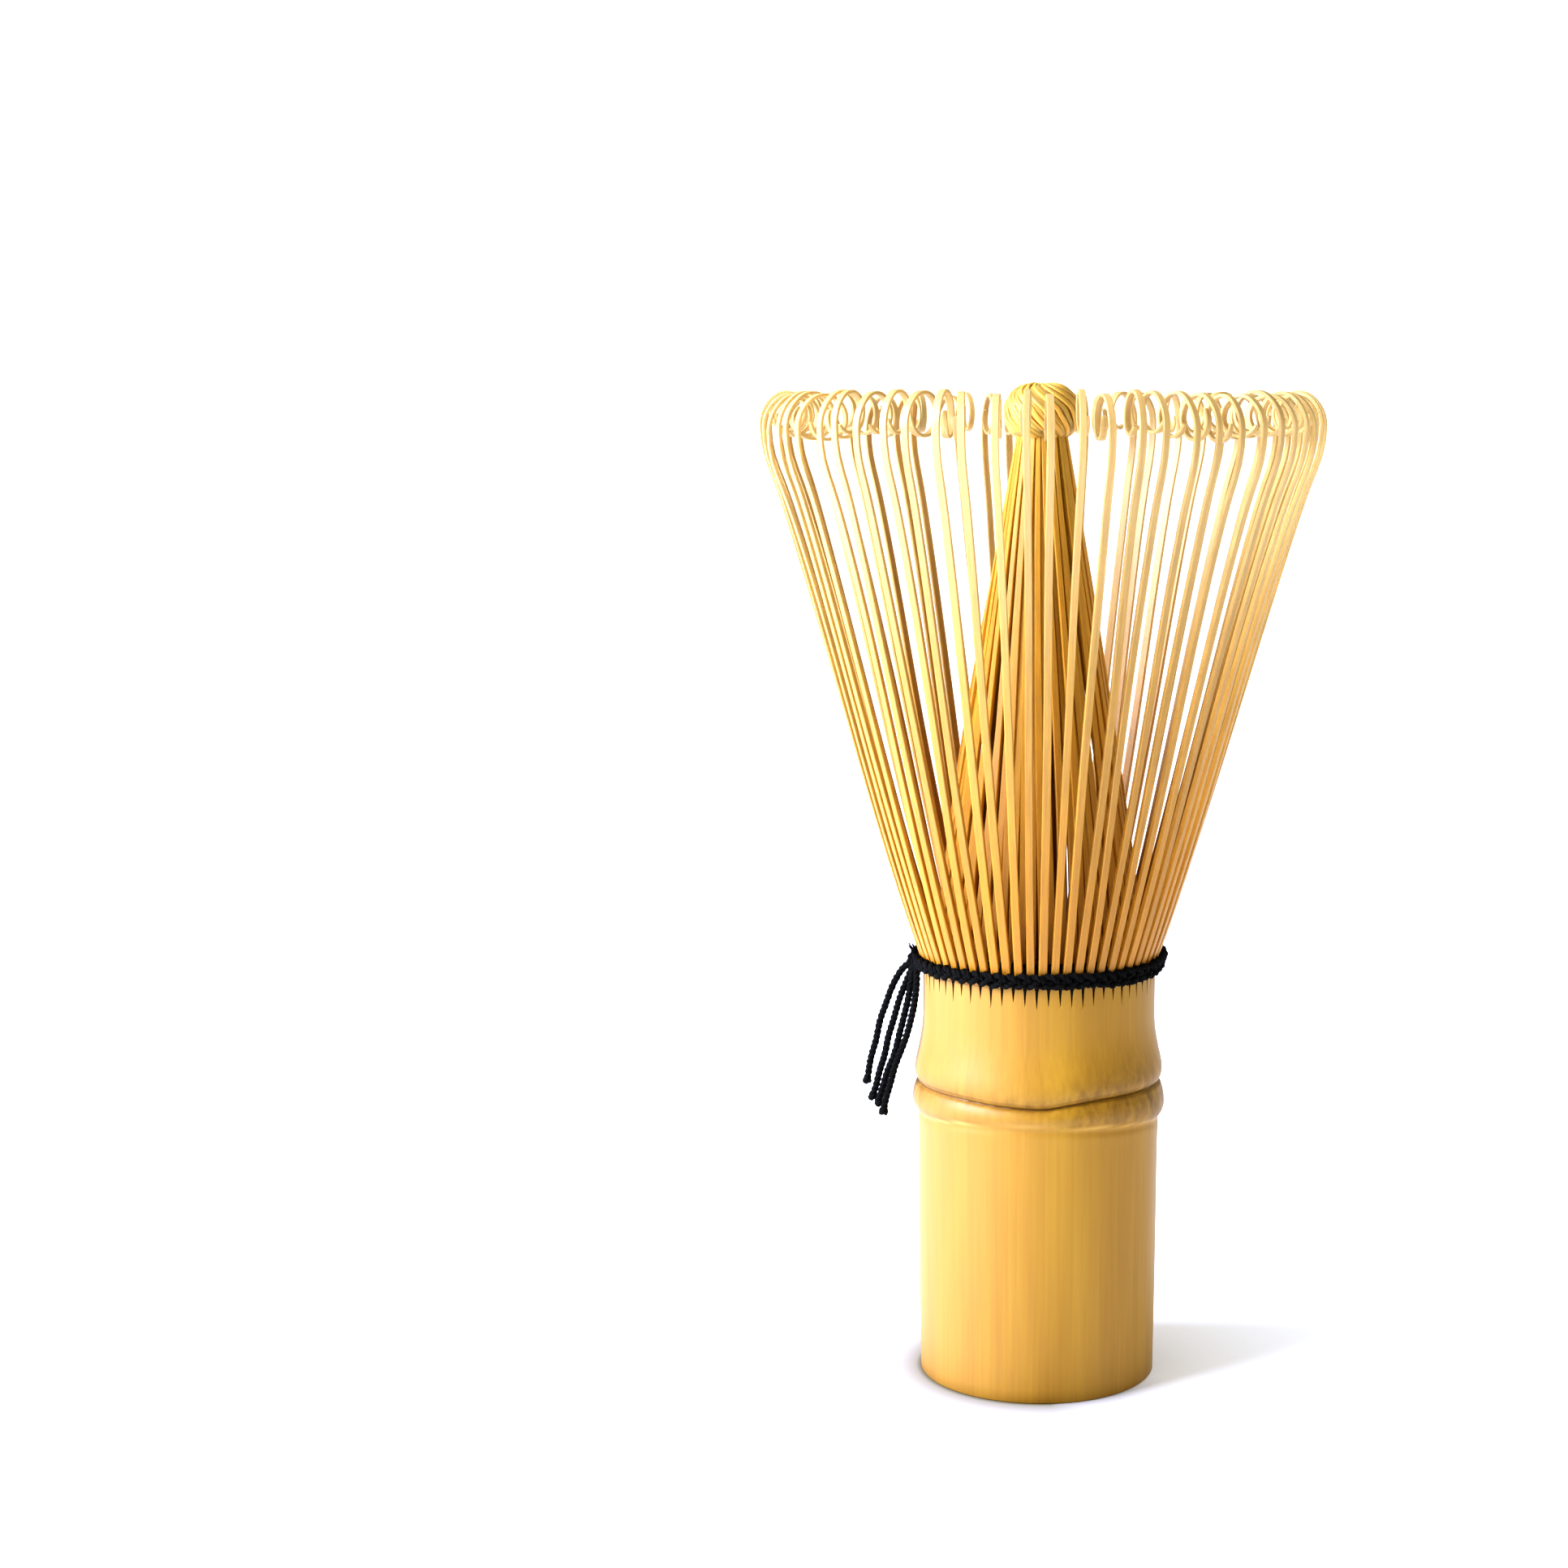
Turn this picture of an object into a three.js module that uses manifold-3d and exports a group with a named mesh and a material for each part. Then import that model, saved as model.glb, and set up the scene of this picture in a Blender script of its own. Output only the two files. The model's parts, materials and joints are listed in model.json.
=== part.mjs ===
// Bamboo tea whisk. One short culm section with a node ring is the handle. Its top is split
// into staves, and each stave into outer tines with curled tips and inner tines that gather
// under a twisted crown. A cotton thread is wound round the outer tine roots and tied.
// Millimetres and degrees, +Z up, origin at the centre of the cut base.
import * as THREE from "three";
import { mergeVertices } from "three/addons/utils/BufferGeometryUtils.js";
import Module from "manifold-3d";

const wasm = await Module();
wasm.setup();

// The whole whisk
const WHISK_HEIGHT = 115; // cut base to the top of the crown
const CURL_RING_RADIUS = 32; // outside of the ring of curled tips
const STAVES = 16; // primary splits of the culm wall
const TINES_PER_STAVE = 4; // outer tines, and as many inner ones
const FIRST_STAVE_ANGLE = -79.7; // middle of stave 01, seen from above
const JOIN_GAP = 0.3; // between pieces that touch

// The culm
const CULM_RADIUS = 13.45; // outside of the waist under the thread
const BASE_SWELL = 0.2; // how far each stretch stands outside the waist
const GRIP_SWELL = 0.4;
const RIDGE_SWELL = 1.2;
const GROOVE_SWELL = 0.65;
const BULGE_SWELL = 0.9;
const CULM_WALL = 3.2; // at the cut base and above the diaphragm
const NODE_HEIGHT = 34.3; // groove of the node ring above the base
const RIDGE_DROP = 2.4; // crest of the lower ridge under the groove
const RIDGE_FOOT = 4.4; // where the ridge meets the grip, under the groove
const GRIP_TOP = 7.5; // top of the straight grip, under the groove
const BULGE_RISE = 1.3; // crest of the upper bulge over the groove
const FLARE_RISE = 6.6; // end of the flare over the groove
const NECK_ABOVE_NODE = 12; // shelf that the tines stand on, over the groove
const DIAPHRAGM = 2.4; // thickness of the wall inside the node
const CULM_SEGMENTS = 40;

// Roots of the tines, at the neck
const ROOT_THICKNESS = 0.8; // of the shaved wall, outer and inner tines alike
const ROOT_SPACE = 0.5; // between the outer and the inner roots, where they swing
const ROOT_STRIP = 1.2; // height of the unsplit foot of each stave
const STRIP_SEGMENTS = 2;
const SLIT = 0.45; // width of the cut between two outer tines
const INNER_SLIT = 0.62; // the same between two inner tines

// Outer tines
const CURL_RADIUS = 2.45; // of the curled tip, to its centre line
const CURL_TIP_RADIUS = 1.8; // of the last part of the curl
const CURL_SWEEP = 270; // how far the tip turns from upright
const CURL_STEPS = 5;
const CROWN_PROUD = 1; // how far the crown stands above the curls
const SHOULDER_RADIUS = 14; // bend between the straight tine and its curl
const STEM_BOW = 0.6; // how far the stem bows out from straight
const TIP_THICKNESS = 0.35;
const OUTER_TIP_WIDTH = 0.6;

// Inner tines and their crown
const BUNDLE_TIP_RADIUS = 2.7; // of the ring of tips under the crown
const BUNDLE_BELLY = 0.7; // how far the bundle bows out from a straight cone
const INNER_TIP_WIDTH = 0.3;
const INNER_TIP_PITCH = 0.11; // between the tips of one stave
const INNER_TIP_THICKNESS = 0.5;
const INNER_SWAY_GAP = 0.8; // under the inner roots, where the bundle sways
const CROWN_HEIGHT = 6;
const CROWN_RADIUS = 4.3;
const CROWN_DIMPLE_RADIUS = 1.3; // hollow in the top of the crown
const CROWN_DIMPLE_DEPTH = 1;
const CROWN_SEGMENTS = 24;

// The thread
const COURSE_THICKNESS = 0.9; // of one wound course of the thread
const LOWER_COURSE_RISE = 2.15; // middle of the lower course above the neck
const COURSE_PITCH = 1.2; // between the middles of the two courses
const COURSE_SEGMENTS = 32;
const COURSE_SIDES = 6;
const TAIL_SIDES = 8;
const TAIL_DIAMETER = 0.6;
const TAIL_STEPS = 10;
const KNOT_RADIUS = 0.7;
const KNOT_HEIGHT = 2.6;
const KNOT_ANGLE = 184; // where the knot sits, seen from above

// Routes of the four tails from the knot: out from it, to the side, and up.
const TAIL_ROUTES = [
  [[0.1, -1.3, -1.65], [1.6, -1.5, -4.2], [2.8, -1.6, -7.9], [3.7, -1.6, -11.7], [4.4, -1.7, -14.8]],
  [[-0.4, -0.4, -2.2], [1.0, -0.5, -5.3], [1.9, -0.6, -8.9], [2.5, -0.6, -12.5], [3.85, -0.7, -16.7]],
  [[-0.9, 0.6, -2.5], [-0.05, 0.5, -6.1], [0.8, 0.4, -10.3], [2.35, 0.4, -13.8], [3.1, 0.3, -17.3]],
  [[-1.5, 1.6, -2.7], [-1.0, 1.5, -6.2], [0.3, 1.4, -9.6], [1.6, 1.4, -13.1], [2.45, 1.3, -18.5]],
];

const NECK_HEIGHT = NODE_HEIGHT + NECK_ABOVE_NODE;
const TINE_COUNT = STAVES * TINES_PER_STAVE;
const STAVE_ANGLE = 360 / STAVES;
const TINE_ANGLE = 360 / TINE_COUNT;
const OUTER_ROOT_RADIUS = CULM_RADIUS - ROOT_THICKNESS / 2;
const INNER_ROOT_RADIUS = OUTER_ROOT_RADIUS - ROOT_THICKNESS - ROOT_SPACE;
const NECK_BORE_RADIUS = INNER_ROOT_RADIUS - ROOT_THICKNESS / 2;
const ROOT_BEND_HEIGHT = NECK_HEIGHT + LOWER_COURSE_RISE + COURSE_PITCH / 2;
const STRIP_REACH = (TINES_PER_STAVE - 1) / 2; // in tine pitches, to the middles of the end tines

const bamboo = new THREE.MeshStandardMaterial({ color: "#d9a94f", roughness: 0.5, metalness: 0 });
const paleBamboo = new THREE.MeshStandardMaterial({ color: "#e3bb6a", roughness: 0.55, metalness: 0 });
const thread = new THREE.MeshStandardMaterial({ color: "#131312", roughness: 0.9, metalness: 0 });

const radians = THREE.MathUtils.degToRad;
const mix = THREE.MathUtils.lerp;

// Turns a closed geometry into a solid for joining.
function solidOf(geometry) {
  const bare = geometry.clone();
  bare.deleteAttribute("normal");
  bare.deleteAttribute("uv");
  const merged = mergeVertices(bare, 1e-4);
  return new wasm.Manifold(
    new wasm.Mesh({
      numProp: 3,
      vertProperties: merged.attributes.position.array,
      triVerts: new Uint32Array(merged.index.array),
    }),
  );
}

// Joins closed geometries that overlap into one body.
function joined(geometries) {
  const whole = geometries.map(solidOf).reduce((sum, next) => sum.add(next));
  const mesh = whole.getMesh();
  const geometry = new THREE.BufferGeometry();
  geometry.setAttribute("position", new THREE.BufferAttribute(mesh.vertProperties, 3));
  geometry.setIndex(new THREE.BufferAttribute(mesh.triVerts, 1));
  geometry.computeVertexNormals();
  return geometry;
}

// A turned solid: the profile is a list of [radius, height].
function turned(profile, segments) {
  const points = profile.map(([radius, height]) => new THREE.Vector2(radius, height));
  return new THREE.LatheGeometry(points, segments).rotateX(Math.PI / 2);
}

// A strip of the culm wall: from one angle to another, at one height.
function wallStrip(middleRadius, halfAngle, bottom, height) {
  const shape = new THREE.Shape();
  const reach = radians(halfAngle);
  shape.absarc(0, 0, middleRadius + ROOT_THICKNESS / 2, -reach, reach, false);
  shape.absarc(0, 0, middleRadius - ROOT_THICKNESS / 2, reach, -reach, true);
  const settings = { depth: height, bevelEnabled: false, curveSegments: STRIP_SEGMENTS };
  return new THREE.ExtrudeGeometry(shape, settings).translate(0, 0, bottom);
}

// A flat ribbon that follows stations {radius, height, lean, thickness} in the plane y = 0.
// lean is the direction of travel from upright, outwards. across(height) gives its width and
// its place sideways.
function ribbon(stations, across) {
  const side = (sign) =>
    stations.map(({ radius, height, lean, thickness }) => {
      const half = (sign * thickness) / 2;
      return new THREE.Vector2(radius + half * Math.cos(lean), height - half * Math.sin(lean));
    });
  const shape = new THREE.Shape([...side(1), ...side(-1).reverse()]);
  const settings = { depth: 1, bevelEnabled: false };
  const geometry = new THREE.ExtrudeGeometry(shape, settings).translate(0, 0, -0.5).rotateX(Math.PI / 2);
  const position = geometry.attributes.position;
  for (let i = 0; i < position.count; i += 1) {
    const { width, offset } = across(position.getZ(i));
    position.setY(i, position.getY(i) * width + offset);
  }
  return geometry;
}

// Places of the tines in a stave, counted in tine pitches from its middle.
function tinePlaces() {
  return Array.from({ length: TINES_PER_STAVE }, (_, i) => i - STRIP_REACH);
}

// The centre line of an outer tine: upright in the thread, nearly straight to the shoulder,
// then round the curl.
function outerStations() {
  const curlHeight = WHISK_HEIGHT - CROWN_PROUD - TIP_THICKNESS / 2 - CURL_RADIUS;
  const curlMiddle = CURL_RING_RADIUS - TIP_THICKNESS / 2 - CURL_RADIUS;
  const shoulderMiddle = CURL_RING_RADIUS - TIP_THICKNESS / 2 - SHOULDER_RADIUS;
  const out = shoulderMiddle - OUTER_ROOT_RADIUS;
  const up = curlHeight - ROOT_BEND_HEIGHT;
  const lean = Math.acos(-SHOULDER_RADIUS / Math.hypot(out, up)) - Math.atan2(up, out);
  const shoulderRadius = shoulderMiddle + SHOULDER_RADIUS * Math.cos(lean);
  const shoulderHeight = curlHeight - SHOULDER_RADIUS * Math.sin(lean);
  const stations = [
    { radius: OUTER_ROOT_RADIUS, height: NECK_HEIGHT + JOIN_GAP, lean: 0, thickness: ROOT_THICKNESS },
    { radius: OUTER_ROOT_RADIUS, height: ROOT_BEND_HEIGHT, lean: lean / 2, thickness: ROOT_THICKNESS },
  ];
  for (const share of [0.4, 1]) {
    stations.push({
      radius: mix(OUTER_ROOT_RADIUS, shoulderRadius, share) + STEM_BOW * Math.sin(Math.PI * share),
      height: mix(ROOT_BEND_HEIGHT, shoulderHeight, share),
      lean,
      thickness: mix(ROOT_THICKNESS, TIP_THICKNESS, share),
    });
  }
  for (let i = 0; i <= CURL_STEPS; i += 1) {
    const share = i / CURL_STEPS;
    const turn = radians(CURL_SWEEP) * share;
    const reach = mix(CURL_RADIUS, CURL_TIP_RADIUS, share);
    stations.push({
      radius: curlMiddle + reach * Math.cos(turn),
      height: curlHeight + reach * Math.sin(turn),
      lean: -turn,
      thickness: TIP_THICKNESS,
    });
  }
  return stations;
}

// The centre line of an inner tine: upright at its root, then leaning in to the crown.
function innerStations() {
  const bottom = NECK_HEIGHT + INNER_SWAY_GAP;
  const top = WHISK_HEIGHT - CROWN_HEIGHT - JOIN_GAP;
  const stations = [{ radius: INNER_ROOT_RADIUS, height: bottom, lean: 0, thickness: ROOT_THICKNESS }];
  for (const share of [0, 0.45, 1]) {
    stations.push({
      radius: mix(INNER_ROOT_RADIUS, BUNDLE_TIP_RADIUS, share) + BUNDLE_BELLY * Math.sin(Math.PI * share),
      height: mix(ROOT_BEND_HEIGHT, top, share),
      lean: 0,
      thickness: mix(ROOT_THICKNESS, INNER_TIP_THICKNESS, share),
    });
  }
  return stations;
}

// One outer stave: its tines stand in their own planes through the axis, on a common foot.
function outerStave() {
  const rootWidth = 2 * OUTER_ROOT_RADIUS * Math.sin(radians(TINE_ANGLE / 2)) - SLIT;
  const across = (height) => {
    const share = THREE.MathUtils.smoothstep(height, ROOT_BEND_HEIGHT, WHISK_HEIGHT);
    return { width: mix(rootWidth, OUTER_TIP_WIDTH, share), offset: 0 };
  };
  const stations = outerStations();
  const tines = tinePlaces().map((place) => ribbon(stations, across).rotateZ(radians(place * TINE_ANGLE)));
  const stripAngle = STRIP_REACH * TINE_ANGLE;
  const strip = wallStrip(OUTER_ROOT_RADIUS, stripAngle, NECK_HEIGHT + JOIN_GAP, ROOT_STRIP);
  return joined([strip, ...tines]);
}

// One inner stave: its tines draw together sideways as they rise, until they touch.
function innerStave() {
  const pitch = 2 * INNER_ROOT_RADIUS * Math.sin(radians(TINE_ANGLE / 2));
  const top = WHISK_HEIGHT - CROWN_HEIGHT - JOIN_GAP;
  const tines = tinePlaces().map((place) =>
    ribbon(innerStations(), (height) => {
      const share = THREE.MathUtils.clamp((height - ROOT_BEND_HEIGHT) / (top - ROOT_BEND_HEIGHT), 0, 1);
      return {
        width: mix(pitch - INNER_SLIT, INNER_TIP_WIDTH, share),
        offset: place * mix(pitch, INNER_TIP_PITCH, share),
      };
    }),
  );
  const stripAngle = STRIP_REACH * TINE_ANGLE;
  const strip = wallStrip(INNER_ROOT_RADIUS, stripAngle, NECK_HEIGHT + INNER_SWAY_GAP, ROOT_STRIP);
  return joined([strip, ...tines]);
}

// The culm: grip, node ring, waist and shelf, with the diaphragm left inside the node.
function culm() {
  const bore = CULM_RADIUS + BASE_SWELL - CULM_WALL;
  return turned(
    [
      [0, NODE_HEIGHT - DIAPHRAGM / 2],
      [bore, NODE_HEIGHT - DIAPHRAGM / 2],
      [bore, 0],
      [CULM_RADIUS + BASE_SWELL, 0],
      [CULM_RADIUS + GRIP_SWELL, NODE_HEIGHT / 2],
      [CULM_RADIUS + GRIP_SWELL, NODE_HEIGHT - GRIP_TOP],
      [CULM_RADIUS + mix(GRIP_SWELL, RIDGE_SWELL, 0.3), NODE_HEIGHT - RIDGE_FOOT],
      [CULM_RADIUS + RIDGE_SWELL, NODE_HEIGHT - RIDGE_DROP],
      [CULM_RADIUS + GROOVE_SWELL, NODE_HEIGHT],
      [CULM_RADIUS + BULGE_SWELL, NODE_HEIGHT + BULGE_RISE],
      [CULM_RADIUS + BULGE_SWELL / 4, NODE_HEIGHT + mix(BULGE_RISE, FLARE_RISE, 0.6)],
      [CULM_RADIUS, NODE_HEIGHT + FLARE_RISE],
      [CULM_RADIUS, NECK_HEIGHT],
      [NECK_BORE_RADIUS, NECK_HEIGHT],
      [bore, NODE_HEIGHT + DIAPHRAGM / 2],
      [0, NODE_HEIGHT + DIAPHRAGM / 2],
    ],
    CULM_SEGMENTS,
  );
}

// The crown: a full turban with a dimple in its top, standing on the inner tips.
function crown() {
  const bottom = WHISK_HEIGHT - CROWN_HEIGHT;
  const middle = WHISK_HEIGHT - CROWN_HEIGHT / 2;
  return turned(
    [
      [0, bottom],
      [BUNDLE_TIP_RADIUS, bottom],
      [mix(BUNDLE_TIP_RADIUS, CROWN_RADIUS, 0.7), mix(bottom, middle, 0.3)],
      [CROWN_RADIUS, mix(bottom, middle, 0.8)],
      [CROWN_RADIUS, mix(middle, WHISK_HEIGHT, 0.3)],
      [mix(CROWN_DIMPLE_RADIUS, CROWN_RADIUS, 0.75), mix(middle, WHISK_HEIGHT, 0.75)],
      [mix(CROWN_DIMPLE_RADIUS, CROWN_RADIUS, 0.35), WHISK_HEIGHT],
      [CROWN_DIMPLE_RADIUS, WHISK_HEIGHT - CROWN_DIMPLE_DEPTH / 4],
      [0, WHISK_HEIGHT - CROWN_DIMPLE_DEPTH],
    ],
    CROWN_SEGMENTS,
  );
}

// How far out the outer face of a tine is at a height in the thread.
function tineFaceRadius(height) {
  const [, bend, next] = outerStations();
  const slope = (next.radius - bend.radius) / (next.height - bend.height);
  return CULM_RADIUS + Math.max(0, height - bend.height) * slope;
}

// One course of the thread: a closed ring just outside the tine roots.
function course(height) {
  const half = COURSE_THICKNESS / 2;
  const radius = tineFaceRadius(height + half) + JOIN_GAP + half;
  const profile = Array.from({ length: COURSE_SIDES + 1 }, (_, i) => {
    const turn = (2 * Math.PI * (i % COURSE_SIDES)) / COURSE_SIDES;
    return [radius + half * Math.cos(turn), height + half * Math.sin(turn)];
  });
  return turned(profile, COURSE_SEGMENTS);
}

const LOWER_COURSE = NECK_HEIGHT + LOWER_COURSE_RISE;
const UPPER_COURSE = LOWER_COURSE + COURSE_PITCH;
const BAND_RADIUS = tineFaceRadius(UPPER_COURSE + COURSE_THICKNESS / 2) + JOIN_GAP + COURSE_THICKNESS;
const KNOT_REACH = BAND_RADIUS + JOIN_GAP + KNOT_RADIUS;

// The knot: an upright bead against the two courses.
function knot() {
  const profile = [
    [0, -KNOT_HEIGHT / 2],
    [KNOT_RADIUS * 0.75, -KNOT_HEIGHT * 0.4],
    [KNOT_RADIUS, 0],
    [KNOT_RADIUS * 0.75, KNOT_HEIGHT * 0.4],
    [0, KNOT_HEIGHT / 2],
  ];
  return turned(profile, TAIL_SIDES);
}

// A round section for the tails.
function tailSection() {
  const corner = (_, i) => {
    const turn = (2 * Math.PI * i) / TAIL_SIDES;
    return new THREE.Vector2(Math.cos(turn), Math.sin(turn)).multiplyScalar(TAIL_DIAMETER / 2);
  };
  return new THREE.Shape(Array.from({ length: TAIL_SIDES }, corner));
}

// One tail, hanging from under the knot.
function tail(route) {
  const points = route.map(([out, side, up]) => new THREE.Vector3(out, side, up));
  const path = new THREE.CatmullRomCurve3(points, false, "centripetal");
  return new THREE.ExtrudeGeometry(tailSection(), { steps: TAIL_STEPS, bevelEnabled: false, extrudePath: path });
}

function named(name, geometry, material) {
  const mesh = new THREE.Mesh(geometry, material.clone());
  mesh.name = name;
  return mesh;
}

const whisk = new THREE.Group();
whisk.add(named("handle_culm", culm(), bamboo));
for (let i = 0; i < STAVES; i += 1) {
  const stave = new THREE.Group();
  const number = String(i + 1).padStart(2, "0");
  stave.rotation.z = radians(FIRST_STAVE_ANGLE + i * STAVE_ANGLE);
  stave.add(named(`outer_stave_${number}`, outerStave(), bamboo));
  stave.add(named(`inner_stave_${number}`, innerStave(), bamboo));
  whisk.add(stave);
}
whisk.add(named("twisted_crown", crown(), paleBamboo));
whisk.add(named("thread_lower_course", course(LOWER_COURSE), thread));
whisk.add(named("thread_upper_course", course(UPPER_COURSE), thread));

const knotPlace = new THREE.Group();
const knotBead = new THREE.Group();
knotPlace.rotation.z = radians(KNOT_ANGLE);
knotBead.position.set(KNOT_REACH, 0, (LOWER_COURSE + UPPER_COURSE) / 2);
knotBead.add(named("thread_knot", knot(), thread));
TAIL_ROUTES.forEach((route, i) => knotBead.add(named(`thread_tail_${i + 1}`, tail(route), thread)));
knotPlace.add(knotBead);
whisk.add(knotPlace);

export default whisk;
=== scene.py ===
"""Looks of a bamboo tea whisk.

One culm section is the handle. Its wall is split above the node into outer tines, which lean
out and curl, and inner tines, which gather under a twisted crown. A black cotton thread is
plaited round the outer roots and tied on the left. Lengths are in millimetres until a mesh is
made, and Z is up.
"""

import json
import math
import random

import bpy
from mathutils import Matrix, Vector, noise

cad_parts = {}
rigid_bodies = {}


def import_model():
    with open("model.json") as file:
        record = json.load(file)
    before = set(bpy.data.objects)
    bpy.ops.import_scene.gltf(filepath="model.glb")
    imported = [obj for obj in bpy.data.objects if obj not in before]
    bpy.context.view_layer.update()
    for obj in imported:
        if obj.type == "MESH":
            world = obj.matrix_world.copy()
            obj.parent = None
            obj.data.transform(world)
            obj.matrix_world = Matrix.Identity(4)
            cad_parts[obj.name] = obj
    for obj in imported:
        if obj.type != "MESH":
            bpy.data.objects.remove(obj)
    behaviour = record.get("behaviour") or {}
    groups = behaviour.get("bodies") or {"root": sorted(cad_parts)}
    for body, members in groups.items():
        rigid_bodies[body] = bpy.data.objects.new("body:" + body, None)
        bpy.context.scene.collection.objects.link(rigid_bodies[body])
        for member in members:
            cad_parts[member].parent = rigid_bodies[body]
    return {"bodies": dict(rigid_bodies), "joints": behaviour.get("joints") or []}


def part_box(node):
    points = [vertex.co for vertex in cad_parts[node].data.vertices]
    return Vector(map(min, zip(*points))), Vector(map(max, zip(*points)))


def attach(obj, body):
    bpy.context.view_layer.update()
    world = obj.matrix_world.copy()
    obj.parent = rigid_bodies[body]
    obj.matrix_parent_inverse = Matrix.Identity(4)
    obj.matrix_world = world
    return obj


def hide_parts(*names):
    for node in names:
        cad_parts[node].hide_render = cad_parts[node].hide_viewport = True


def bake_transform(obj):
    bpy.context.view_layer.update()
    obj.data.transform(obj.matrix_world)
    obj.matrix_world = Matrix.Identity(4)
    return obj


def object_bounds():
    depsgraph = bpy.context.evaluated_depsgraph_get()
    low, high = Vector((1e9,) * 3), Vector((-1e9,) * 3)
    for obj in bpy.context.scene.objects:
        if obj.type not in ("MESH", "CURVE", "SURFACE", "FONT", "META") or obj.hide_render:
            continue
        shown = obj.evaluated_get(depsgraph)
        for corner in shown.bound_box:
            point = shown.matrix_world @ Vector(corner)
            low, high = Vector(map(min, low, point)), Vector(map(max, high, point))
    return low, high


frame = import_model()
cad_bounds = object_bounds()

MM = 0.001
UP = Vector((0, 0, 1))
FULL_TURN = 2 * math.pi
PAINTED_SHADOW_REACH = 8.0  # how far the floor is greyed round the base

# ---------------------------------------------------------------- sizes from the frame


def lowest(node):
    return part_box(node)[0] / MM


def highest(node):
    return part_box(node)[1] / MM


def middle(node):
    return (lowest(node) + highest(node)) / 2


JOINTS = {joint["child"]: joint for joint in frame["joints"]}
STAVES = sum(body.startswith("outer_") for body in frame["bodies"])
TINES_PER_STAVE = 4
TINES = STAVES * TINES_PER_STAVE
TINE_ANGLE = FULL_TURN / TINES
FIRST_HINGE = Vector(JOINTS["outer_01"]["pos_m"]) / MM
FIRST_STAVE_ANGLE = math.atan2(FIRST_HINGE.y, FIRST_HINGE.x)
FIRST_TINE_ANGLE = FIRST_STAVE_ANGLE - (TINES_PER_STAVE - 1) / 2 * TINE_ANGLE
OUTER_ROOT_RADIUS = FIRST_HINGE.to_2d().length
HINGE_HEIGHT = FIRST_HINGE.z
NECK_HEIGHT = highest("handle_culm").z
CURL_RING_RADIUS = cad_bounds[1][0] / MM
CROWN_BOTTOM = lowest("twisted_crown").z
CROWN_TOP = highest("twisted_crown").z
CROWN_RADIUS = highest("twisted_crown").x
KNOT_MIDDLE = middle("thread_knot")
BAND_MIDDLE = (middle("thread_lower_course").z + middle("thread_upper_course").z) / 2

# ---------------------------------------------------------------- sizes of the real pieces

# The culm
WAIST_RADIUS = 13.45
GROOVE_HEIGHT = 34.3
WALL = 3.2
DIAPHRAGM = 2.4
NECK_BORE_RADIUS = 11.35
EDGE_ROUNDING = 0.15
BASE_RADIUS = WAIST_RADIUS + 0.2  # at the cut base
OUT_OF_ROUND = 0.05
UNEVENNESS = 0.03
# How far the culm stands outside its waist, by height over the node's groove. The ridge under
# the groove is RIDGE_FOOT tall here, and is stretched to its real height at each angle.
RIDGE_FOOT = 3.6
SWELLS = [
    (-GROOVE_HEIGHT, BASE_RADIUS - WAIST_RADIUS),
    (-20, 0.36),
    (-8, 0.42),
    (-5.6, 0.46),
    (-4.4, 0.52),
    (-3.8, 0.42),
    (-3.5, 0.52),
    (-3.1, 0.88),
    (-2.6, 1.12),
    (-2.1, 1.2),
    (-1.2, 1.08),
    (-0.5, 0.84),
    (0, 0.66),
    (0.6, 0.8),
    (1.3, 0.92),
    (2.4, 0.8),
    (4.2, 0.42),
    (6.6, 0.06),
    (9, 0),
    (12, 0),
]
# Height of the ridge, by angle from the front in degrees
RIDGE_HEIGHTS = [
    (-180, 3.4),
    (-80, 3.4),
    (-54, 3.3),
    (-34, 2.7),
    (-12, 2.25),
    (3, 2.2),
    (22, 3.0),
    (36, 3.4),
    (59, 3.9),
    (85, 4.4),
    (130, 4.0),
    (180, 3.4),
]
GROOVE_DEPTH = 0.28
GROOVE_WIDTH = 0.2
SECOND_LINE = 0.42  # height of a second fine line over the groove
SECOND_LINE_DEPTH = 0.12
SECOND_LINE_WIDTH = 0.13
FOOT_TOP = 47.9  # unsplit foot of a stave, up to the middle of the thread
FOOT_INSIDE = 12.65
FOOT_ROWS = 16
TINE_PITCH = TINE_ANGLE * WAIST_RADIUS
SLIT_WIDTH = 0.36  # at the top of the foot
SLIT_TIP_WIDTH = 0.0317
SLIT_LENGTHS = (1.45, 2.1)  # under the top of the foot
STAVE_SLIT_LENGTHS = (1.9, 2.4)  # the same between two staves
SLIT_DEPTH = 0.7
# Points round the wall at each tine: the slit that rules one (0 is the slit before the tine), its
# place from the middle of the tine in tine pitches, and its side of the slit
WALL_POINTS = [(0, -0.5, 0), (0, -0.5, 1), (0, -0.2, 0), (0, 0.2, 0), (1, 0.5, -1)]
# Between rings of points up the culm: on plain wall, and at the node and in the slits
RING_SPACINGS = (1.4, 0.09)
# How far the node's groove rises over its level, by angle from the front in degrees
GROOVE_RISES = [
    (-180, 0.1),
    (-120, 0.3),
    (-80, 0.35),
    (-60, 0.42),
    (-38, 0.42),
    (-15, 0.14),
    (3, 0.05),
    (13, 0.4),
    (29, 0.82),
    (52, 0.85),
    (72, 0.75),
    (90, 0.6),
    (130, 0.1),
    (180, 0.1),
]

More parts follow.
